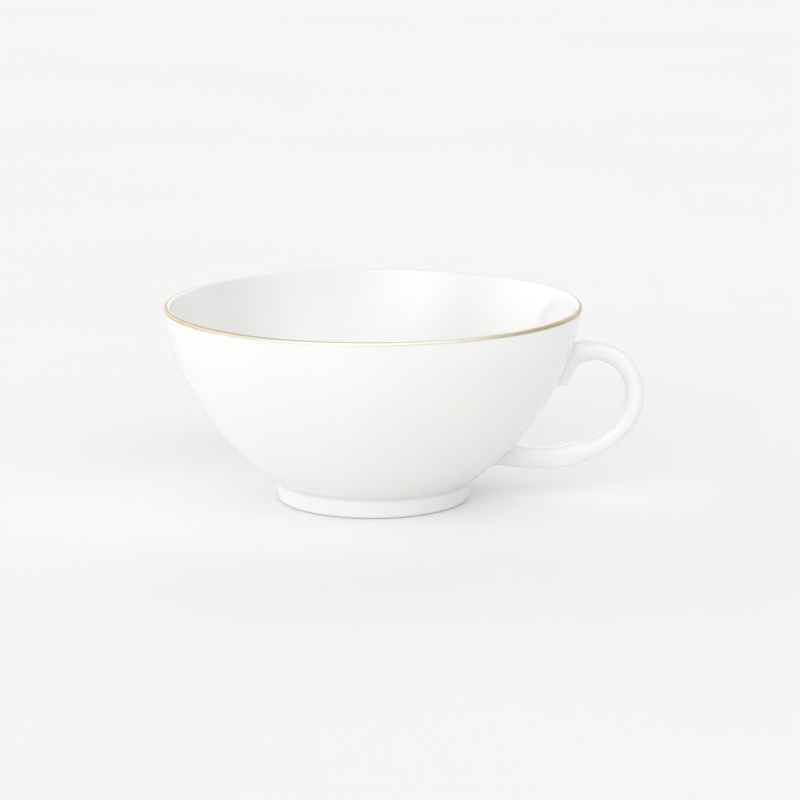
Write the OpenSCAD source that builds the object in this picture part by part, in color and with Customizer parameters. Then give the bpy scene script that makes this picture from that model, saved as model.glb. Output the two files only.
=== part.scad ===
// Low porcelain teacup: a wide bowl on a small foot ring, with a round ring handle
// and a gold line on the lip. The foot and the handle are clay pieces of their own,
// stuck to the bowl with slip. Millimetres, +Z up. The origin is the middle of the
// foot on the face that it rests on, and the handle points along +X.

/* [Bowl] */
// Outer radius of the bowl at the lip
rim_r = 51.7; // [50.7:0.1:52.7]
// Height from the table to the top of the lip
cup_h = 49.2; // [48.4:0.1:50.4]
// Thickness of the lip, which is fully rounded
lip_t = 1.5; // [1.3:0.1:1.7]
// Lean of the outside just under the lip, in degrees from vertical
rim_lean = 8; // [7:0.2:9]
// Rise of the outside where it leaves the foot, in degrees from level
foot_rise = 33.8; // [33:0.2:35]
// Pull on both ends of the outside's curve, which sets how full the wall is
wall_pull = 17; // [16:0.5:18]
// Lean of the inside just under the lip, in degrees from vertical
inner_lean = 12; // [11:0.2:12.6]
// Pull on the inside's curve towards the lip
inner_pull = 40; // [38:0.5:41]
// Pull on the inside's curve along the level floor
floor_pull = 18; // [16:0.5:19]
// Thickness of the floor in the middle
floor_t = 2.8; // [2.5:0.1:3.2]

/* [Foot] */
// Outer radius of the foot at the crease under the bowl
foot_r = 24.7; // [24.2:0.1:25.2]
// Height of the crease above the table
foot_h = 5.05; // [4.8:0.05:5.4]
// Thickness of the foot ring at the crease
foot_t = 4.2; // [3.8:0.1:4.6]
// How far each side of the foot draws in towards the table
foot_taper = 0.55; // [0.3:0.05:0.8]
// Radius of the foot's outer edge at the table
foot_edge = 1.1; // [0.9:0.1:1.3]
// Rise of the underside beside the foot ring, before it comes down to the middle
underside_rise = 3; // [2:0.5:3.5]

/* [Handle] */
// Thickness of the handle's rod at the top of the ring
rod_top_d = 5.1; // [4.9:0.1:5.3]
// Thickness of the rod at the side of the ring, where it is thinnest
rod_side_d = 4.8; // [4.6:0.1:5]
// Thickness of the rod where the lower arm meets the bowl
rod_root_d = 5; // [4.9:0.1:5.4]
// How far the top of the ring's centre line stands out from the lip
ring_out = 2.9; // [2.7:0.1:3.2]
// Height of the top of the ring's centre line
ring_top = 37.3; // [37:0.1:37.7]
// Height of the lug's flat underside
lug_bottom = 28.6; // [28.2:0.1:29]
// How far the lug's nose stands in from the lip
nose_in = 3.2; // [3:0.05:3.4]
// Thickness of the lug at its nose
nose_t = 4; // [3.6:0.1:4.3]

/* [Slip and gold] */
// Thickness of the slip between the clay pieces
slip_t = 0.3; // [0.2:0.05:0.4]
// Width of the bead of slip that shows around each joint
slip_bead = 0.5; // [0.4:0.1:0.7]
// Thickness of the band that stands for the gold film
gold_t = 0.1; // [0.08:0.01:0.12]
// Length of gold below the round of the lip
gold_skirt = 0.1; // [0.05:0.05:0.3]

/* [Hidden] */
$fn = 96;

glaze_white = [0.95, 0.95, 0.94];
slip_white = [0.90, 0.90, 0.88];
gold = [0.85, 0.75, 0.50];

wall_steps = 44;
lip_steps = 16;
edge_steps = 8;

// ---- Curves -------------------------------------------------------------------

// Point and direction of a cubic curve from a to d, pulled towards b and c
function cubic(a, b, c, d, t) =
    pow(1 - t, 3) * a + 3 * pow(1 - t, 2) * t * b + 3 * (1 - t) * t * t * c + pow(t, 3) * d;
function cubic_way(a, b, c, d, t) =
    pow(1 - t, 2) * (b - a) + 2 * (1 - t) * t * (c - b) + t * t * (d - c);
function cubic_points(a, b, c, d, steps) =
    [for (i = [0 : steps]) cubic(a, b, c, d, i / steps)];
function arc(centre, r, from, to, steps) =
    [for (i = [0 : steps]) centre + r * dir(from + (to - from) * i / steps)];
function dir(angle) = [cos(angle), sin(angle)];
function reverse(points) = [for (i = [len(points) - 1 : -1 : 0]) points[i]];

// ---- Bowl, half section as [radius, height] ------------------------------------

lip_r = lip_t / 2;
lip_c = [rim_r - lip_r, cup_h - lip_r];
floor_z = foot_h + floor_t;
seat_r = foot_r - foot_t;

// Outside of the wall, from the lip down to the crease
wall_a = lip_c + lip_r * dir(-rim_lean);
wall_b = wall_a - wall_pull * [sin(rim_lean), cos(rim_lean)];
wall_d = [foot_r, foot_h];
wall_c = wall_d + wall_pull * dir(foot_rise);
function wall_point(t, out = 0) =
    let (way = cubic_way(wall_a, wall_b, wall_c, wall_d, t))
        cubic(wall_a, wall_b, wall_c, wall_d, t) + out * [-way[1], way[0]] / norm(way);

// The gold ends at gold_low on the wall and at gold_top on the round of the lip
gold_low = gold_skirt / (3 * wall_pull);
gold_top = 95;
function wall_points(out = 0) =
    [for (i = [0 : wall_steps]) wall_point(gold_low + (1 - gold_low) * i / wall_steps, out)];

// Inside of the bowl, from the lip to the middle of the floor
inner_a = lip_c + lip_r * dir(180 - inner_lean);
inner_b = inner_a - inner_pull * [sin(inner_lean), cos(inner_lean)];
inner_c = [floor_pull, floor_z];
inner_d = [0, floor_z];

// Underside inside the foot ring, from the middle out to the seat of the foot
under_a = [0, foot_h];
under_b = [seat_r / 2, foot_h];
under_d = [seat_r, foot_h];
under_c = under_d + [-slip_bead, underside_rise];

module bowl_section() {
    polygon(concat(
        arc(lip_c, lip_r - gold_t, -rim_lean, gold_top, lip_steps),
        arc(lip_c, lip_r, gold_top, 180 - inner_lean, edge_steps),
        cubic_points(inner_a, inner_b, inner_c, inner_d, wall_steps),
        cubic_points(under_a, under_b, under_c, under_d, lip_steps),
        reverse(wall_points()),
        [wall_point(gold_low, -gold_t)]
    ));
}

module bowl() {
    color(glaze_white)
        rotate_extrude()
            bowl_section();
}

module gold_rim_line() {
    color(gold)
        rotate_extrude()
            polygon(concat(
                [wall_point(gold_low)],
                arc(lip_c, lip_r, -rim_lean, gold_top, lip_steps),
                reverse(arc(lip_c, lip_r - gold_t, -rim_lean, gold_top, lip_steps)),
                [wall_point(gold_low, -gold_t)]
            ));
}

// ---- Foot ring, half section ----------------------------------------------------

foot_top = foot_h - slip_t;
foot_inner_edge = 0.8;
outer_low_r = foot_r - foot_taper;
inner_low_r = seat_r + foot_taper;
module foot_section() {
    polygon(concat(
        [[foot_r, foot_top]],
        arc([outer_low_r - foot_edge, foot_edge], foot_edge, 0, -90, edge_steps),
        arc([inner_low_r + foot_inner_edge, foot_inner_edge], foot_inner_edge,
            -90, -180, edge_steps),
        [[seat_r, foot_top]]
    ));
}

module foot_ring() {
    color(glaze_white)
        rotate_extrude()
            foot_section();
}

// The slip fills the flat seat and shows as a small bead in the crease outside
module foot_slip_joint() {
    bead_along_wall = slip_bead / (3 * wall_pull);
    color(slip_white)
        rotate_extrude()
            difference() {
                polygon([
                    [seat_r, foot_top],
                    [foot_r - slip_bead, foot_top],
                    [foot_r - slip_bead, foot_top - slip_bead],
                    [foot_r, foot_top - slip_bead],
                    wall_point(1 - bead_along_wall),
                    [foot_r, foot_h],
                    [seat_r, foot_h],
                ]);
                foot_section();
            }
}

// ---- Handle, in the plane of +X and +Z -------------------------------------------

// The ring's arcs from its top, clockwise, as [radius, heading where the arc ends].
// A heading is in degrees above level, so -90 runs straight down.
ring_arcs = [[10.6, -82], [12.9, -131], [21.8, -165], [36.4, -186]];
last_arc = len(ring_arcs) - 1;
upper_root_heading = 46;
lower_root_heading = ring_arcs[last_arc][1];
lower_root_length = 11;
ring_step = 6;
rod_sides = 20;

function ring_start(i) = i == 0 ? upper_root_heading : ring_arcs[i - 1][1];
function ring_centre(i) = i == 0
    ? [rim_r + ring_out, ring_top - ring_arcs[0][0]]
    : ring_centre(i - 1) + (ring_arcs[i - 1][0] - ring_arcs[i][0]) * dir(90 + ring_start(i));
function ring_point(i, heading) = ring_centre(i) + ring_arcs[i][0] * dir(90 + heading);
lower_end = ring_point(last_arc, lower_root_heading);

// The centre line as [x, height, heading], from the upper root to inside the bowl
centre_line = concat(
    [
        for (i = [0 : last_arc])
            let (
                from = ring_start(i),
                to = ring_arcs[i][1],
                steps = round((from - to) / ring_step)
            )
                for (k = [0 : steps - 1])
                    let (heading = from + (to - from) * k / steps)
                        concat(ring_point(i, heading), [heading])
    ],
    [
        concat(lower_end, [lower_root_heading]),
        concat(lower_end + lower_root_length * dir(lower_root_heading), [lower_root_heading])
    ]
);

// The rod is thinnest where it runs almost straight down and thickens to both ends
side_heading = -78;
function rod_r(heading) = heading > side_heading
    ? (rod_side_d + (rod_top_d - rod_side_d) * pow(1 - heading / side_heading, 2)) / 2
    : (rod_side_d + (rod_root_d - rod_side_d)
        * pow((heading - side_heading) / (lower_root_heading - side_heading), 2)) / 2;

// A closed tube around a line of [x, height, heading] points in the handle's plane
module rod(line) {
    last = len(line) - 1;
    skin = [
        for (p = line, j = [0 : rod_sides - 1])
            let (
                around = 360 * j / rod_sides,
                off = rod_r(p[2]) * cos(around) * dir(90 + p[2])
            )
                [p[0] + off[0], rod_r(p[2]) * sin(around), p[1] + off[1]]
    ];
    walls = [
        for (i = [0 : last - 1], j = [0 : rod_sides - 1])
            let (
                a = i * rod_sides + j,
                b = i * rod_sides + (j + 1) % rod_sides
            )
                each [[a, b, b + rod_sides], [a, b + rod_sides, a + rod_sides]]
    ];
    start_cap = [for (j = [rod_sides - 1 : -1 : 0]) j];
    end_cap = [for (j = [0 : rod_sides - 1]) last * rod_sides + j];
    polyhedron(skin, concat(walls, [start_cap, end_cap]));
}

// Places something that points along +Z where the lower arm runs on into the bowl
module at_lower_root() {
    translate([lower_end[0], 0, lower_end[1]])
        rotate([0, 90 - lower_root_heading, 0])
            children();
}

// Puts a flat shape drawn as [x, height] upright, centred on the handle's plane
module upright(thickness) {
    rotate([90, 0, 0])
        linear_extrude(thickness, center = true)
            children();
}

// Side view of the lug: a flat underside, an upright nose, and a hollow curve that
// sweeps up into the underside of the arm. Its top and back are hidden in the rod
// and behind the wall.
nose_x = rim_r - nose_in;
nose_corner = 0.5;
web_r = 3.6;
web_start = 2.1;
web_end_angle = 110;
web_c = [nose_x + web_r, lug_bottom + web_start];
lug_back = rim_r - 12;
lug_crown = [
    [rim_r + ring_out, ring_top],
    [rim_r - 3, ring_top - 1.8],
    [lug_back, ring_top - 6],
];
module lug_side() {
    polygon(concat(
        [[lug_back, lug_bottom]],
        arc([nose_x - nose_corner, lug_bottom + nose_corner], nose_corner, -90, 0, edge_steps),
        arc(web_c, web_r, 180, web_end_angle, lip_steps),
        lug_crown
    ));
}

// Top view of the lug: it widens in a hollow curve towards the wall, and thins a
// little towards the web
root_t = 6;
web_thinning = 0.6;
flare_x = rim_r - 8;
flare_pull = 2;
flare_a = [flare_x, root_t / 2];
flare_b = [flare_x + flare_pull, nose_t / 2];
flare_c = [flare_x + 2 * flare_pull, nose_t / 2];
flare_d = [rim_r + ring_out, nose_t / 2 - web_thinning];
module lug_top() {
    side = cubic_points(flare_a, flare_b, flare_c, flare_d, edge_steps);
    polygon(concat(
        [[lug_back, root_t / 2]],
        side,
        reverse([for (p = side) [p[0], -p[1]]]),
        [[lug_back, -root_t / 2]]
    ));
}

// Everything inside the wall's outside moved out by a distance. Its bottom dips below
// the crease, to take in the moved curve's end.
wall_solid_dip = 1;
module wall_solid(out) {
    rotate_extrude()
        polygon(concat(wall_points(out), [[0, foot_h - wall_solid_dip], [0, cup_h]]));
}

module handle() {
    color(glaze_white)
        difference() {
            union() {
                rod(centre_line);
                intersection() {
                    upright(root_t) lug_side();
                    linear_extrude(cup_h) lug_top();
                }
            }
            wall_solid(slip_t);
        }
}

// A skin of slip on the wall, as wide as the roots need
slip_sector = 20;
module wall_skin() {
    rotate_extrude(start = -slip_sector / 2, angle = slip_sector)
        polygon(concat(wall_points(slip_t), reverse(wall_points())));
}

// Seen along the handle, the upper joint is an upright pad with a round top
pad_r = root_t / 2 + slip_bead;
pad_top_c = ring_top - 1.9;
pad_bottom = lug_bottom - slip_bead;
module upper_handle_slip_joint() {
    color(slip_white)
        intersection() {
            wall_skin();
            translate([lug_back, 0, 0])
                rotate([90, 0, 90])
                    linear_extrude(rim_r - lug_back)
                        union() {
                            translate([-pad_r, pad_bottom])
                                square([2 * pad_r, pad_top_c - pad_bottom]);
                            translate([0, pad_top_c]) circle(pad_r);
                        }
        }
}

module lower_handle_slip_joint() {
    color(slip_white)
        intersection() {
            wall_skin();
            at_lower_root() cylinder(h = lower_root_length, r = rod_root_d / 2 + slip_bead);
        }
}

bowl();
foot_ring();
handle();
gold_rim_line();
foot_slip_joint();
upper_handle_slip_joint();
lower_handle_slip_joint();
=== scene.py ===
"""The looks of a low porcelain teacup with a ring handle and a gold line on the lip.

Shapes are worked out in millimetres in the CAD frame, and put_mesh() makes them metres.
"""

import math

import bmesh
import bpy
import numpy as np
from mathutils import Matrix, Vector


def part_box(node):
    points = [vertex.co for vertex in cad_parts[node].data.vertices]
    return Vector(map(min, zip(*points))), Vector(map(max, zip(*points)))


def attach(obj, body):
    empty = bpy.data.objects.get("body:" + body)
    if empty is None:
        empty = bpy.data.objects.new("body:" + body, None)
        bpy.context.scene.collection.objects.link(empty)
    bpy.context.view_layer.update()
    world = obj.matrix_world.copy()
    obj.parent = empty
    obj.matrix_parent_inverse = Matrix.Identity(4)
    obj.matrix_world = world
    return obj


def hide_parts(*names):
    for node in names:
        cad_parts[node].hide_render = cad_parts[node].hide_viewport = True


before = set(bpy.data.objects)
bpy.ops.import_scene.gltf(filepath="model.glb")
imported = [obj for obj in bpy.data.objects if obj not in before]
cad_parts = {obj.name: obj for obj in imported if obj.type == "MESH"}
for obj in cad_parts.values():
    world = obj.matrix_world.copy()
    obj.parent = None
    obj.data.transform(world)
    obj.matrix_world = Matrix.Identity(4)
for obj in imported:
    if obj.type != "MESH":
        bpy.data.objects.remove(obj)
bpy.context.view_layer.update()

MM = 0.001


def node_box(name):
    """Lowest and highest corner of a CAD node, in millimetres."""
    low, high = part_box(name)
    return np.array(low) / MM, np.array(high) / MM


# ---- Sizes: the outer ones come from the frame, the curves repeat the CAD design --------

rim_r = node_box("gold_rim_line")[1][0]
cup_h = node_box("gold_rim_line")[1][2]
foot_r = node_box("foot_ring")[1][0]
foot_top = node_box("foot_ring")[1][2]
foot_h = node_box("bowl")[0][2]

lip_r = 0.75
rim_lean = 8
foot_rise = 33.8
wall_pull = 17
inner_lean = 12
inner_pull = 40
floor_pull = 18
floor_t = 2.8

foot_t = 4.2
foot_taper = 0.55
foot_edge = 1.1
foot_inner_edge = 0.8
underside_rise = 3
underside_tuck = 0.5

ring_out = 2.9
ring_top = 37.3
ring_arcs = [(10.6, -82), (12.9, -131), (21.8, -165), (36.4, -186)]
upper_root_heading = 46
lower_root_length = 11
rod_top_r = 2.55
rod_side_r = 2.4
rod_root_r = 2.5
side_heading = -78

nose_x = rim_r - 3.2
nose_corner = 0.5
nose_half = 2
lug_bottom = 28.6
lug_top = 35
lug_length = 8
lug_edge = 0.9
lug_thinning = 3.2
web_r = 3.6
web_blend = 0.9
flare = 1.5
flare_reach = 3.6


# ---- Plane curves, as arrays of (radius, height) -----------------------------------------


def point(x, y):
    return np.array([x, y], float)


def way(angle):
    """Unit vector at an angle in degrees."""
    return point(math.cos(math.radians(angle)), math.sin(math.radians(angle)))


def arc(centre, r, start, end, steps):
    angles = np.radians(np.linspace(start, end, steps + 1))
    return centre + r * np.stack([np.cos(angles), np.sin(angles)], 1)


def cubic(a, b, c, d, t):
    """Points of a cubic curve from a to d, pulled towards b and c, at the shares t."""
    t = np.asarray(t, float)[:, None]
    u = 1 - t
    return u**3 * a + 3 * u * u * t * b + 3 * u * t * t * c + t**3 * d


def line(a, b, steps):
    return a + (b - a) * np.linspace(0, 1, steps + 1)[:, None]


def join(*curves):
    """One line through several, without the repeated ends."""
    return np.concatenate([curves[0]] + [c[1:] for c in curves[1:]])


lip_c = point(rim_r - lip_r, cup_h - lip_r)
wall_a = lip_c + lip_r * way(-rim_lean)
wall_b = wall_a - wall_pull * point(math.sin(math.radians(rim_lean)), math.cos(math.radians(rim_lean)))
wall_d = point(foot_r, foot_h)
wall_c = wall_d + wall_pull * way(foot_rise)
floor_z = foot_h + floor_t
seat_r = foot_r - foot_t


def wall_curve(steps):
    """Outside of the wall, from under the lip down to the crease above the foot."""
    return cubic(wall_a, wall_b, wall_c, wall_d, np.linspace(0, 1, steps + 1))


def normals_of(curve):
    """Unit normals of a plane curve, to the left of its way."""
    along = np.gradient(curve, axis=0)
    along /= np.linalg.norm(along, axis=1)[:, None]
    return np.stack([-along[:, 1], along[:, 0]], 1)


# ---- Meshes ------------------------------------------------------------------------------


def put_mesh(name, points, faces, normals=None):
    """A smooth mesh object in the row frame. normals gives one for each face corner."""
    mesh = bpy.data.meshes.new(name)
    mesh.from_pydata((np.asarray(points) * MM).tolist(), [], faces)
    mesh.validate()
    mesh.shade_smooth()
    if normals is not None:
        mesh.normals_split_custom_set(normals)
    piece = bpy.data.objects.new(name, mesh)
    bpy.context.scene.collection.objects.link(piece)
    return piece


def turned_mesh(name, rings, closed):
    """Skin over rings[around][along]. closed joins the last point along to the first one,
    and otherwise both ends lie on the axis."""
    around, along = rings.shape[:2]
    points = rings.reshape(-1, 3)
    faces = []
    for i in range(around):
        for j in range(along if closed else along - 1):
            k = (j + 1) % along
            a, b = i * along, (i + 1) % around * along
            faces.append((a + j, b + j, b + k, a + k))
    piece = put_mesh(name, points, faces)
    bm = bmesh.new()
    bm.from_mesh(piece.data)
    bmesh.ops.remove_doubles(bm, verts=bm.verts, dist=1e-8)
    bmesh.ops.recalc_face_normals(bm, faces=bm.faces)
    bm.to_mesh(piece.data)
    bm.free()
    piece.data.shade_smooth()
    return piece


def lathe(name, section, around, closed=False):
    """Turns a section of (radius, height) about the cup's axis."""
    turn = np.linspace(0, 2 * math.pi, around, endpoint=False)[:, None]
    rings = np.stack(
        [section[:, 0] * np.cos(turn), section[:, 0] * np.sin(turn), section[:, 1] + 0 * turn], -1
    )
    return turned_mesh(name, rings, closed)


# ---- Bowl --------------------------------------------------------------------------------

# The porcelain stays this far under the gold film, so that the film is the surface there
film = 0.02
film_fade_end = 2.2
film_fade = 0.8
bowl_around = 384
# The gold runs this far down the outside of the wall, in mm, and over the lip, in degrees
gold_skirt = 0.1
gold_top = 95
gold_back = 0.1
gold_edge = 0.1


def bowl_piece():
    under_b = point(seat_r / 2, foot_h)
    under_d = point(seat_r, foot_h)
    under_c = under_d + point(-underside_tuck, underside_rise)
    under = cubic(point(0, foot_h), under_b, under_c, under_d, np.linspace(0, 1, 25))
    wall = wall_curve(90)[::-1]
    lip = arc(lip_c, lip_r, -rim_lean, 180 - inner_lean, 24)
    inner_a = lip_c + lip_r * way(180 - inner_lean)
    inner_b = inner_a - inner_pull * point(
        math.sin(math.radians(inner_lean)), math.cos(math.radians(inner_lean))
    )
    inner = cubic(inner_a, inner_b, point(floor_pull, floor_z), point(0, floor_z), np.linspace(0, 1, 91))
    # Sink the lip under the gold, fading out just beyond it
    outside = join(under, line(under_d, wall_d, 4), wall, lip, inner)
    inward = normals_of(outside)
    below = cup_h - outside[:, 1]
    near_lip = np.clip((film_fade_end - below) / film_fade, 0, 1)
    section = outside + film * near_lip[:, None] * inward
    return lathe("bowl_porcelain", section, bowl_around)


# ---- Gold line ---------------------------------------------------------------------------


def ripple(turn, waves, seed):
    """A hand's slow and quick unevenness around the rim, from -1 to 1."""
    rng = np.random.default_rng(seed)
    phases = rng.uniform(0, 2 * math.pi, len(waves))
    sizes = rng.uniform(0.6, 1, len(waves))
    total = sum(s * np.sin(w * turn + p) for s, w, p in zip(sizes, waves, phases))
    return total / sizes.sum()


def gold_piece():
    around, across = 768, 22
    turn = np.linspace(0, 2 * math.pi, around, endpoint=False)
    arc_length = lip_r * math.radians(gold_top + rim_lean)
    low = -gold_skirt + 0.07 * ripple(turn, (5, 11, 23, 47, 83), 3)
    high = arc_length + 0.06 * ripple(turn, (4, 9, 19, 41, 71), 8)
    down = wall_a - wall_b
    down /= np.linalg.norm(down)

    def on_lip(s, sink):
        """Point on the lip s millimetres past the wall's top, sunk below the surface."""
        angle = np.radians(-rim_lean) + np.maximum(s, 0) / lip_r
        out = np.stack([np.cos(angle), np.sin(angle)], -1)
        return lip_c + (lip_r - sink)[..., None] * out + np.minimum(s, 0)[..., None] * down

    share = np.linspace(0, 1, across)
    s = low[:, None] + (high - low)[:, None] * share
    # The film thins out over its last tenth of a millimetre at both edges
    edge = np.minimum(s - low[:, None], high[:, None] - s)
    sink = 1.6 * film * np.clip(1 - edge / gold_edge, 0, 1) ** 2
    top = on_lip(s, sink)
    back = on_lip(s[:, ::-1][:, 1:-1], np.full((around, across - 2), gold_back))
    section = np.concatenate([top, back], 1)
    rings = np.stack(
        [section[..., 0] * np.cos(turn)[:, None], section[..., 0] * np.sin(turn)[:, None], section[..., 1]],
        -1,
    )
    return turned_mesh("gold_line", rings, True)


# ---- Foot --------------------------------------------------------------------------------


foot_around = 320
bead_reach = 0.8


def foot_piece():
    outer_low = point(foot_r - foot_taper - foot_edge, foot_edge)
    inner_low = point(seat_r + foot_taper + foot_inner_edge, foot_inner_edge)
    outer = arc(outer_low, foot_edge, 0, -90, 12)
    inner = arc(inner_low, foot_inner_edge, -90, -180, 12)
    section = join(
        line(point(foot_r, foot_top), outer[0], 8),
        outer,
        line(outer[-1], inner[0], 6),
        inner,
        line(inner[-1], point(seat_r, foot_top), 8),
        line(point(seat_r, foot_top), point(foot_r, foot_top), 6),
    )[:-1]
    return lathe("foot_ring_porcelain", section, foot_around, closed=True)


def foot_bead_piece():
    """Slip that fills the crease in a hollow curve, with the flat layer behind it."""
    on_wall = wall_curve(400)
    up = on_wall[np.argmin(abs(np.linalg.norm(on_wall - wall_d, axis=1) - bead_reach))]
    outer_low = point(foot_r - foot_taper, foot_edge)
    side = outer_low - wall_d
    side /= np.linalg.norm(side)
    down = wall_d + bead_reach * side
    hollow = cubic(up, (up + 2 * wall_d) / 3, (down + 2 * wall_d) / 3, down, np.linspace(0, 1, 15))
    back = point(-0.3, 0)
    section = np.concatenate(
        [
            hollow,
            [down + back, point(foot_r - 0.6, foot_top), point(seat_r + 0.2, foot_top)],
            [point(seat_r + 0.2, foot_h + 0.05), point(foot_r - 0.2, foot_h + 0.1), up + point(-0.2, 0.1)],
        ]
    )
    return lathe("foot_slip_bead", section, foot_around, closed=True)


# ---- Handle, as a field that is below 0 inside it ----------------------------------------


def round_union(a, b, r):
    """Union of two fields with a round fillet of radius r where they meet."""
    corner = np.hypot(np.maximum(r - a, 0), np.maximum(r - b, 0))
    return np.maximum(r, np.minimum(a, b)) - corner


def round_cut(a, b, r):
    """What is inside both fields, with its edge rounded off at radius r."""
    return -round_union(-a, -b, r)


def rod_r(heading):
    """Radius of the handle's rod, which is thinnest at the side of the ring."""
    last = ring_arcs[-1][1]
    upper = rod_side_r + (rod_top_r - rod_side_r) * (1 - heading / side_heading) ** 2
    lower = rod_side_r + (rod_root_r - rod_side_r) * ((heading - side_heading) / (last - side_heading)) ** 2
    return np.where(heading > side_heading, upper, lower)


def ring_parts():
    """Centre, radius, first and last heading of each arc of the ring, and its lower end."""
    parts = []
    start = upper_root_heading
    centre = point(rim_r + ring_out, ring_top - ring_arcs[0][0])
    for i, (r, end) in enumerate(ring_arcs):
        if i > 0:
            centre = centre + (ring_arcs[i - 1][0] - r) * way(90 + start)
        parts.append((centre, r, start, end))
        start = end
    return parts, centre + r * way(90 + end)


arcs_of_ring, lower_end = ring_parts()


def ring_fields(x, z):
    """For each stretch of the ring, the distance in its plane and the rod's radius."""
    for centre, r, start, end in arcs_of_ring:
        middle = (start + end) / 2
        heading = np.degrees(np.arctan2(z - centre[1], x - centre[0])) - 90
        heading = (heading - middle + 180) % 360 - 180 + middle
        heading = np.clip(heading, end, start)
        turn = np.radians(90 + heading)
        yield np.hypot(x - centre[0] - r * np.cos(turn), z - centre[1] - r * np.sin(turn)), rod_r(heading)
    run = way(ring_arcs[-1][1])
    along = np.clip((x - lower_end[0]) * run[0] + (z - lower_end[1]) * run[1], 0, lower_root_length)
    off = np.hypot(x - lower_end[0] - along * run[0], z - lower_end[1] - along * run[1])
    yield off, np.full_like(x, rod_root_r)


nearest_steps = 6
step_share = 0.8
wall_samples = wall_curve(1200)
wall_outward = normals_of(wall_samples)
wall_length = np.linalg.norm(np.diff(wall_samples, axis=0), axis=1).sum()


def wall_field(p):
    """Distance outside the wall. Each point starts from the place on the curve at its own
    height and then steps along the curve to the place nearest to it."""
    r = np.hypot(p[:, 0], p[:, 1])
    t = np.interp(p[:, 2], wall_samples[::-1, 1], np.linspace(1, 0, len(wall_samples)))
    for _ in range(nearest_steps):
        at = t * (len(wall_samples) - 1)
        k = np.arange(len(wall_samples))
        foot = np.stack([np.interp(at, k, wall_samples[:, i]) for i in (0, 1)], 1)
        out = np.stack([np.interp(at, k, wall_outward[:, i]) for i in (0, 1)], 1)
        along = np.stack([out[:, 1], -out[:, 0]], 1)
        miss = (r - foot[:, 0]) * along[:, 0] + (p[:, 2] - foot[:, 1]) * along[:, 1]
        t = np.clip(t + step_share * miss / wall_length, 0, 1)
    return (r - foot[:, 0]) * out[:, 0] + (p[:, 2] - foot[:, 1]) * out[:, 1]


def handle_field(p, off_wall):
    """The ring with the lug under its upper root, before they are joined to the wall."""
    x, y, z = p.T
    rod = np.full(len(p), 1e3)
    band = np.full(len(p), 1e3)
    for off, r in ring_fields(x, z):
        rod = np.minimum(rod, np.hypot(off, y) - r)
        band = np.minimum(band, off - r)
    block = round_cut(x - nose_x, lug_bottom - z, nose_corner)
    block = np.maximum(block, z - lug_top)
    side = round_union(block, band, web_r)
    root = flare * np.clip(1 - off_wall / flare_reach, 0, 1.2) ** 2
    thin = lug_thinning * np.clip((x - nose_x) / lug_length, 0, 1) ** 1.5
    lug = round_cut(side, abs(y) - nose_half - root + thin, lug_edge)
    return round_union(rod, lug, web_blend)


fillet_upper = 0.8
fillet_lower = 1.3
# Above this height the fillet has its upper size, and it grows to the lower one over this
# length below it
fillet_turn_z = 26
fillet_turn = 8
bury = 0.005


def joined_field(p):
    """The handle run into the wall with a fillet. Away from it this is the wall itself,
    just below its surface."""
    off_wall = wall_field(p)
    share = np.clip((fillet_turn_z - p[:, 2]) / fillet_turn, 0, 1)
    fillet = fillet_upper + (fillet_lower - fillet_upper) * share
    return round_union(handle_field(p, off_wall), off_wall + bury, fillet)


def slope(field, p, step=0.01):
    """Gradient of a field at points, by central differences."""
    out = np.empty_like(p)
    for axis in range(3):
        move = np.zeros(3)
        move[axis] = step
        out[:, axis] = (field(p + move) - field(p - move)) / (2 * step)
    return out


least_slope = 0.2


def pulled_to_surface(field, p, rounds):
    """Moves points onto the surface where a field is 0."""
    for _ in range(rounds):
        g = slope(field, p)
        p = p - (field(p) / np.maximum((g * g).sum(1), least_slope))[:, None] * g
    return p


def net(field, low, high, cell):
    """Quads over the surface where a field is 0: one point in each cell that it crosses."""
    axes = [np.arange(a, b + cell, cell) for a, b in zip(low, high)]
    grid = np.stack(np.meshgrid(*axes, indexing="ij"), -1)
    inside = field(grid.reshape(-1, 3)).reshape(grid.shape[:3]) < 0
    cells = np.array(inside.shape) - 1
    total = np.zeros(cells, int)
    for i, j, k in np.ndindex(2, 2, 2):
        total += inside[i : i + cells[0], j : j + cells[1], k : k + cells[2]]
    crossed = (total > 0) & (total < 8)
    number = np.full(cells, -1)
    number[crossed] = np.arange(crossed.sum())
    points = np.argwhere(crossed) * cell + np.array(low) + cell / 2
    quads = []
    for axis in range(3):
        u, v = np.eye(3, dtype=int)[[(axis + 1) % 3, (axis + 2) % 3]]
        near = np.take(inside, range(cells[axis]), axis)
        far = np.take(inside, range(1, cells[axis] + 1), axis)
        hits = np.argwhere(near != far)
        room = (hits @ u >= 1) & (hits @ u < cells @ u) & (hits @ v >= 1) & (hits @ v < cells @ v)
        hits = hits[room]
        ring = [number[tuple((hits - step).T)] for step in (0 * u, u, u + v, v)]
        quad = np.stack(ring, 1)
        outward = near[tuple(hits.T)]
        quad[~outward] = quad[~outward][:, ::-1]
        quads.append(quad)
    return points, np.concatenate(quads)


def evened(field, points, quads, rounds):
    """Spreads the points evenly over the surface."""
    a = quads.ravel()
    b = np.roll(quads, -1, 1).ravel()
    count = np.zeros(len(points))
    np.add.at(count, a, 1)
    np.add.at(count, b, 1)
    count = np.maximum(count, 1)
    for _ in range(rounds):
        total = np.zeros_like(points)
        np.add.at(total, a, points[b])
        np.add.at(total, b, points[a])
        points = pulled_to_surface(field, total / count[:, None], 2)
    return points


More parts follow.
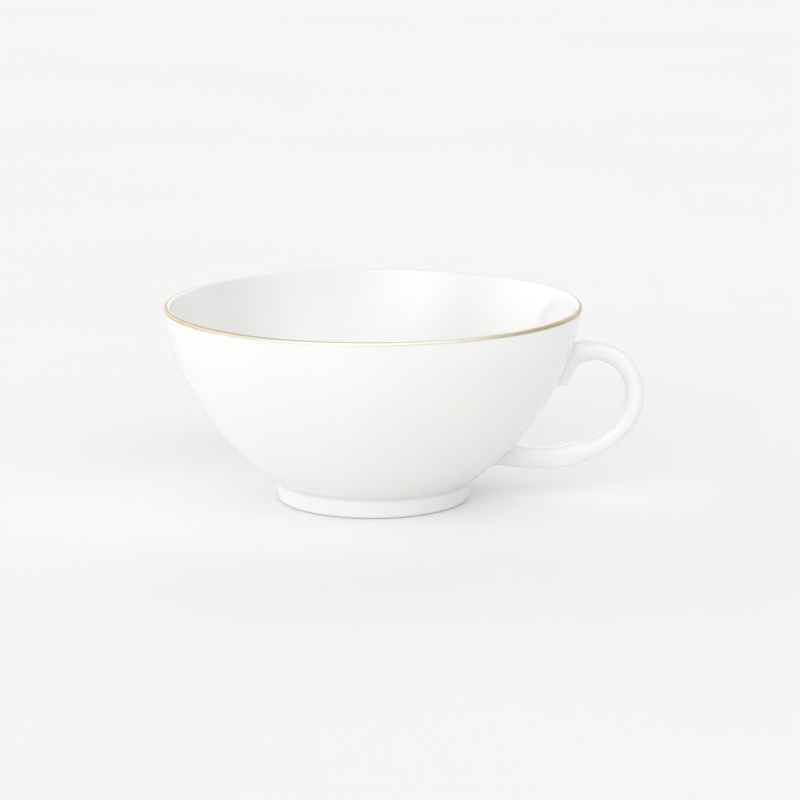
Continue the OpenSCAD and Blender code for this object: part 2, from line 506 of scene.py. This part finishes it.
def split_at(points, faces, value):
    """Cuts every face along the line where value is 0."""
    bm = bmesh.new()
    verts = [bm.verts.new(p) for p in points]
    for face in faces:
        bm.faces.new([verts[i] for i in face])
    bm.verts.index_update()
    marked = set()
    for edge in list(bm.edges):
        a, b = edge.verts
        va, vb = value[a.index], value[b.index]
        if (va > 0) != (vb > 0):
            marked.add(bmesh.utils.edge_split(edge, a, va / (va - vb))[1])
    for face in list(bm.faces):
        ends = [v for v in face.verts if v in marked]
        if len(ends) == 2:
            bmesh.utils.face_split(face, ends[0], ends[1])
    bm.verts.index_update()
    cut_points = np.array([v.co for v in bm.verts])
    cut_faces = [[v.index for v in f.verts] for f in bm.faces]
    bm.free()
    return cut_points, cut_faces


def closed_piece(name, points, faces, buried_depth):
    """Keeps some faces of the net, sinks their buried edge, and closes every open loop."""
    used = sorted({i for face in faces for i in face})
    place = {old: new for new, old in enumerate(used)}
    bm = bmesh.new()
    verts = [bm.verts.new(points[i]) for i in used]
    for face in faces:
        bm.faces.new([verts[place[i]] for i in face])
    bm.normal_update()
    outer = len(bm.faces)
    edges = [e for e in bm.edges if e.is_boundary]
    low_edges = [e for e in edges if all(wall_field(np.array([v.co]))[0] < 0.1 for v in e.verts)]
    made = bmesh.ops.extrude_edge_only(bm, edges=low_edges)["geom"]
    for v in [g for g in made if isinstance(g, bmesh.types.BMVert)]:
        inward = slope(wall_field, np.array([v.co]))[0]
        v.co -= Vector(inward / np.linalg.norm(inward)) * buried_depth
    bmesh.ops.holes_fill(bm, edges=[e for e in bm.edges if e.is_boundary], sides=0)
    bm.faces.ensure_lookup_table()
    caps = [f for f in bm.faces if len(f.verts) > 6]
    bmesh.ops.triangulate(bm, faces=caps)
    bmesh.ops.recalc_face_normals(bm, faces=bm.faces)
    bm.faces.ensure_lookup_table()
    bm.verts.index_update()
    places = np.array([v.co for v in bm.verts])
    out = slope(joined_field, places)
    out /= np.maximum(np.linalg.norm(out, axis=1), 1e-6)[:, None]
    all_faces, corner_normals = [], []
    for n, face in enumerate(bm.faces):
        all_faces.append([v.index for v in face.verts])
        for v in face.verts:
            corner_normals.append(out[v.index] if n < outer else np.array(face.normal))
    bm.free()
    return put_mesh(name, places, all_faces, corner_normals)


# The handle is cut from its beads at this distance outside the wall
collar = 0.45
net_cell = 0.42
net_half_width = 6.51
# The beads end this far beyond their fillet, with their edge sunk into the wall
fillet_margin = 0.15
buried_edge = 0.3


def handle_pieces():
    far_x = arcs_of_ring[0][0][0] + ring_arcs[0][0] + 7
    low = [foot_r + 0.3, -net_half_width, foot_h + 0.2]
    high = [far_x, net_half_width, ring_top + rod_top_r + 1.6]
    points, quads = net(joined_field, low, high, net_cell)
    points = pulled_to_surface(joined_field, points, 4)
    points = evened(joined_field, points, quads, 8)
    near = handle_field(points, wall_field(points)) < fillet_lower + fillet_margin
    quads = quads[near[quads].all(1)]
    points, faces = split_at(points, quads.tolist(), wall_field(points) - collar)
    points = pulled_to_surface(joined_field, points, 2)
    off_wall = wall_field(points)
    groups = {"handle_porcelain": [], "upper_handle_slip_bead": [], "lower_handle_slip_bead": []}
    for face in faces:
        middle = points[face].mean(0)
        if off_wall[face].mean() > collar:
            groups["handle_porcelain"].append(face)
        elif middle[2] > (lug_bottom + lower_end[1]) / 2:
            groups["upper_handle_slip_bead"].append(face)
        else:
            groups["lower_handle_slip_bead"].append(face)
    return [closed_piece(name, points, faces, buried_edge) for name, faces in groups.items()]


# ---- Materials ---------------------------------------------------------------------------


class Nodes:
    """A material's node tree, with short ways to add nodes to it."""

    def __init__(self, name):
        self.material = bpy.data.materials.new(name)
        self.material.use_nodes = True
        self.tree = self.material.node_tree
        self.shader = self.tree.nodes["Principled BSDF"]
        self.place = self.add("ShaderNodeTexCoord").outputs["Object"]

    def add(self, kind, inputs=None, **settings):
        node = self.tree.nodes.new(kind)
        for key, value in settings.items():
            setattr(node, key, value)
        for key, value in (inputs or {}).items():
            self.put(node.inputs[key], value)
        return node

    def put(self, socket, value):
        if isinstance(value, bpy.types.NodeSocket):
            self.tree.links.new(value, socket)
        else:
            socket.default_value = value

    def math(self, operation, *values):
        node = self.add("ShaderNodeMath", operation=operation)
        for socket, value in zip(node.inputs, values):
            self.put(socket, value)
        return node.outputs[0]

    def ramp(self, value, low, high, start=0.0, end=1.0):
        """Turns low..high of a value into start..end, smoothly and no further."""
        inputs = {"Value": value, "From Min": low, "From Max": high, "To Min": start, "To Max": end}
        return self.add("ShaderNodeMapRange", inputs, interpolation_type="SMOOTHSTEP").outputs[0]

    def noise(self, scale, detail=2.0, vector=None):
        inputs = {"Vector": vector or self.place, "Scale": scale, "Detail": detail}
        return self.add("ShaderNodeTexNoise", inputs).outputs["Fac"]

    def mix(self, share, a, b):
        node = self.add("ShaderNodeMix", data_type="RGBA")
        for socket, value in zip([node.inputs["Factor"], node.inputs[6], node.inputs[7]], [share, a, b]):
            self.put(socket, value)
        return node.outputs[2]

    def bump(self, height, distance, strength, normal=None):
        inputs = {"Height": height, "Distance": distance, "Strength": strength}
        if normal:
            inputs["Normal"] = normal
        return self.add("ShaderNodeBump", inputs).outputs["Normal"]


def porcelain(name, bare_foot=False):
    """White hard porcelain under a clear gloss glaze: faint drift of tone, painted shade as a darker
    grey-green band in the crease above the foot, slow waves in the gloss, and a few pinholes."""
    m = Nodes(name)
    height = m.add("ShaderNodeSeparateXYZ", {"Vector": m.place}).outputs["Z"]
    drift = m.ramp(m.noise(28.0, 3.0), 0.35, 0.65)
    white = m.mix(drift, (0.90, 0.902, 0.895, 1), (0.885, 0.886, 0.872, 1))
    # Painted shade: a band round the height where the bowl meets the foot is coloured a darker grey-green,
    # standing in for the shade that falls in that crease
    crease = m.math("ABSOLUTE", m.math("SUBTRACT", height, foot_h * MM))
    painted_crease_shade = m.ramp(crease, 0.0002, 0.0011, 0.55, 0.0)
    colour = m.mix(painted_crease_shade, white, (0.80, 0.83, 0.83, 1))
    sheen = m.ramp(m.noise(60.0, 4.0), 0.3, 0.7, 0.05, 0.1)
    waves = m.bump(m.noise(95.0, 1.5), 0.0004, 0.05)
    cells = m.add("ShaderNodeTexVoronoi", {"Vector": m.place, "Scale": 420.0}).outputs["Distance"]
    some = m.ramp(m.noise(160.0, 1.0), 0.62, 0.7)
    pins = m.math("MULTIPLY", m.ramp(cells, 0.02, 0.07, 1.0, 0.0), some)
    surface = m.bump(pins, -0.00004, 0.25, waves)
    if bare_foot:
        edge = m.math("ADD", height, m.math("MULTIPLY", m.noise(900.0, 3.0), 0.00012))
        bare = m.ramp(edge, 0.00012, 0.00026, 1.0, 0.0)
        grain = m.noise(5200.0, 3.0)
        colour = m.mix(bare, colour, m.mix(grain, (0.80, 0.77, 0.71, 1), (0.87, 0.85, 0.80, 1)))
        sheen = m.math("ADD", sheen, m.math("MULTIPLY", bare, 0.55))
        surface = m.bump(m.math("MULTIPLY", grain, bare), 0.00003, 0.8, surface)
    m.put(m.shader.inputs["Base Color"], colour)
    m.put(m.shader.inputs["Roughness"], sheen)
    m.put(m.shader.inputs["Normal"], surface)
    m.shader.inputs["IOR"].default_value = 1.52
    m.shader.inputs["Subsurface Weight"].default_value = 0.12
    m.shader.inputs["Subsurface Radius"].default_value = (1.0, 0.9, 0.8)
    m.shader.inputs["Subsurface Scale"].default_value = 0.0012
    return m.material


def gold_film(name):
    """Pale painted gold, with painted shade and light: coloured darker over the handle and opposite it
    and paler at the front and back, with brush streaks along the rim and small changes of tone and polish."""
    m = Nodes(name)
    parts = m.add("ShaderNodeSeparateXYZ", {"Vector": m.place}).outputs
    turn = m.math("ARCTAN2", parts["Y"], parts["X"])
    reach = m.math("SQRT", m.math("ADD", m.math("POWER", parts["X"], 2.0), m.math("POWER", parts["Y"], 2.0)))
    inputs = {"X": m.math("MULTIPLY", turn, 0.004), "Y": reach, "Z": parts["Z"]}
    brushed = m.add("ShaderNodeCombineXYZ", inputs).outputs[0]
    streaks = m.noise(4200.0, 3.0, brushed)
    tone = m.ramp(m.noise(70.0, 3.0), 0.35, 0.65)
    # Painted shade and light: 'full' is a darker copy of the gold for the two sides, over the handle and
    # opposite it, and 'thin' a paler copy for the front and back, standing in for how the line catches the
    # light round the rim
    full = m.mix(tone, (0.54, 0.44, 0.28, 1), (0.60, 0.50, 0.33, 1))
    thin = m.mix(tone, (0.90, 0.86, 0.72, 1), (0.93, 0.90, 0.79, 1))
    painted_pale_share = m.ramp(m.math("ABSOLUTE", m.math("COSINE", turn)), 0.35, 0.97, 1.0, 0.0)
    gold = m.mix(painted_pale_share, full, thin)
    shade = m.mix(m.ramp(streaks, 0.3, 0.7, 0.0, 0.15), gold, (0.60, 0.50, 0.35, 1))
    m.put(m.shader.inputs["Base Color"], shade)
    m.put(m.shader.inputs["Roughness"], m.ramp(streaks, 0.25, 0.75, 0.42, 0.52))
    m.put(m.shader.inputs["Normal"], m.bump(streaks, 0.00001, 0.2))
    m.shader.inputs["Metallic"].default_value = 1.0
    return m.material


def pale_floor(name):
    """Matt pale table top."""
    m = Nodes(name)
    tone = m.ramp(m.noise(3.0, 3.0), 0.3, 0.7)
    m.put(m.shader.inputs["Base Color"], m.mix(tone, (0.93, 0.93, 0.925, 1), (0.945, 0.945, 0.94, 1)))
    m.shader.inputs["Roughness"].default_value = 0.9
    m.shader.inputs["Specular IOR Level"].default_value = 0.1
    return m.material


# ---- The cup -----------------------------------------------------------------------------

glaze = porcelain("glazed_porcelain")
foot_glaze = porcelain("glazed_porcelain_with_bare_foot", bare_foot=True)
slip_glaze = porcelain("glazed_slip")
handle, upper_bead, lower_bead = handle_pieces()

for piece, node, slot, material in [
    (bowl_piece(), "bowl", "glazed_porcelain", glaze),
    (foot_piece(), "foot_ring", "glazed_porcelain", foot_glaze),
    (handle, "handle", "glazed_porcelain", glaze),
    (gold_piece(), "gold_rim_line", "gold_line", gold_film("gold_line")),
    (foot_bead_piece(), "foot_slip_joint", "glazed_slip", slip_glaze),
    (upper_bead, "upper_handle_slip_joint", "glazed_slip", slip_glaze),
    (lower_bead, "lower_handle_slip_joint", "glazed_slip", slip_glaze),
]:
    piece.data.materials.append(material)
    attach(piece, "root")
    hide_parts(node)


# ---- Floor, light and camera, in metres --------------------------------------------------


def floor_piece():
    """A wide round table top."""
    bm = bmesh.new()
    bmesh.ops.create_circle(bm, cap_ends=True, segments=96, radius=6)
    mesh = bpy.data.meshes.new("floor")
    bm.to_mesh(mesh)
    bm.free()
    floor = bpy.data.objects.new("floor", mesh)
    bpy.context.scene.collection.objects.link(floor)
    floor.data.materials.append(pale_floor("pale_floor"))


# Soft light from all round, as (azimuth, elevation, tightness, strength). The azimuth is in
# degrees from +X towards +Y, so 270 is the camera's side. The handle's side is the darker one.
glows = [
    (262, 38, 8, 1.55),
    (322, 38, 8, 1.55),
    (82, 38, 8, 1.2),
    (240, 12, 14, 2.05),
    (180, 8, 10, 2.1),
    (135, 8, 10, 2.15),
    (90, 8, 10, 0.6),
    (45, 8, 10, 1.3),
    (0, 90, 6, 0.3),
]


def room_light(name):
    """A pale studio: the sum of a few broad glows, each strongest in its own direction."""
    world = bpy.data.worlds.new(name)
    world.use_nodes = True
    nodes, links = world.node_tree.nodes, world.node_tree.links
    toward = nodes.new("ShaderNodeTexCoord").outputs["Generated"]

    def math_node(operation, *values):
        node = nodes.new("ShaderNodeMath")
        node.operation = operation
        for socket, value in zip(node.inputs, values):
            if isinstance(value, bpy.types.NodeSocket):
                links.new(value, socket)
            else:
                socket.default_value = value
        return node.outputs[0]

    total = 0.0
    for azimuth, elevation, tightness, strength in glows:
        a, e = math.radians(azimuth), math.radians(elevation)
        near = nodes.new("ShaderNodeVectorMath")
        near.operation = "DOT_PRODUCT"
        links.new(toward, near.inputs[0])
        near.inputs[1].default_value = (math.cos(a) * math.cos(e), math.sin(a) * math.cos(e), math.sin(e))
        fall = math_node("MULTIPLY", math_node("SUBTRACT", near.outputs["Value"], 1.0), tightness)
        glow = math_node("MULTIPLY", math_node("EXPONENT", fall), strength)
        total = math_node("ADD", glow, total)
    background = nodes["Background"]
    background.inputs["Color"].default_value = (1, 1, 1, 1)
    links.new(total, background.inputs["Strength"])
    bpy.context.scene.world = world


def camera(elevation, distance, aim, lens):
    data = bpy.data.cameras.new("camera")
    data.lens = lens
    data.sensor_width = 36
    eye = bpy.data.objects.new("camera", data)
    e = math.radians(elevation)
    eye.location = Vector(aim) + distance * Vector((0, -math.cos(e), math.sin(e)))
    eye.rotation_euler = (math.pi / 2 - e, 0, 0)
    bpy.context.scene.collection.objects.link(eye)
    bpy.context.scene.camera = eye


floor_piece()
room_light("soft_studio")
camera(elevation=12.12, distance=0.7323, aim=(0.00665, 0, 0.02456), lens=132.1)
bpy.context.scene.view_settings.view_transform = "Standard"
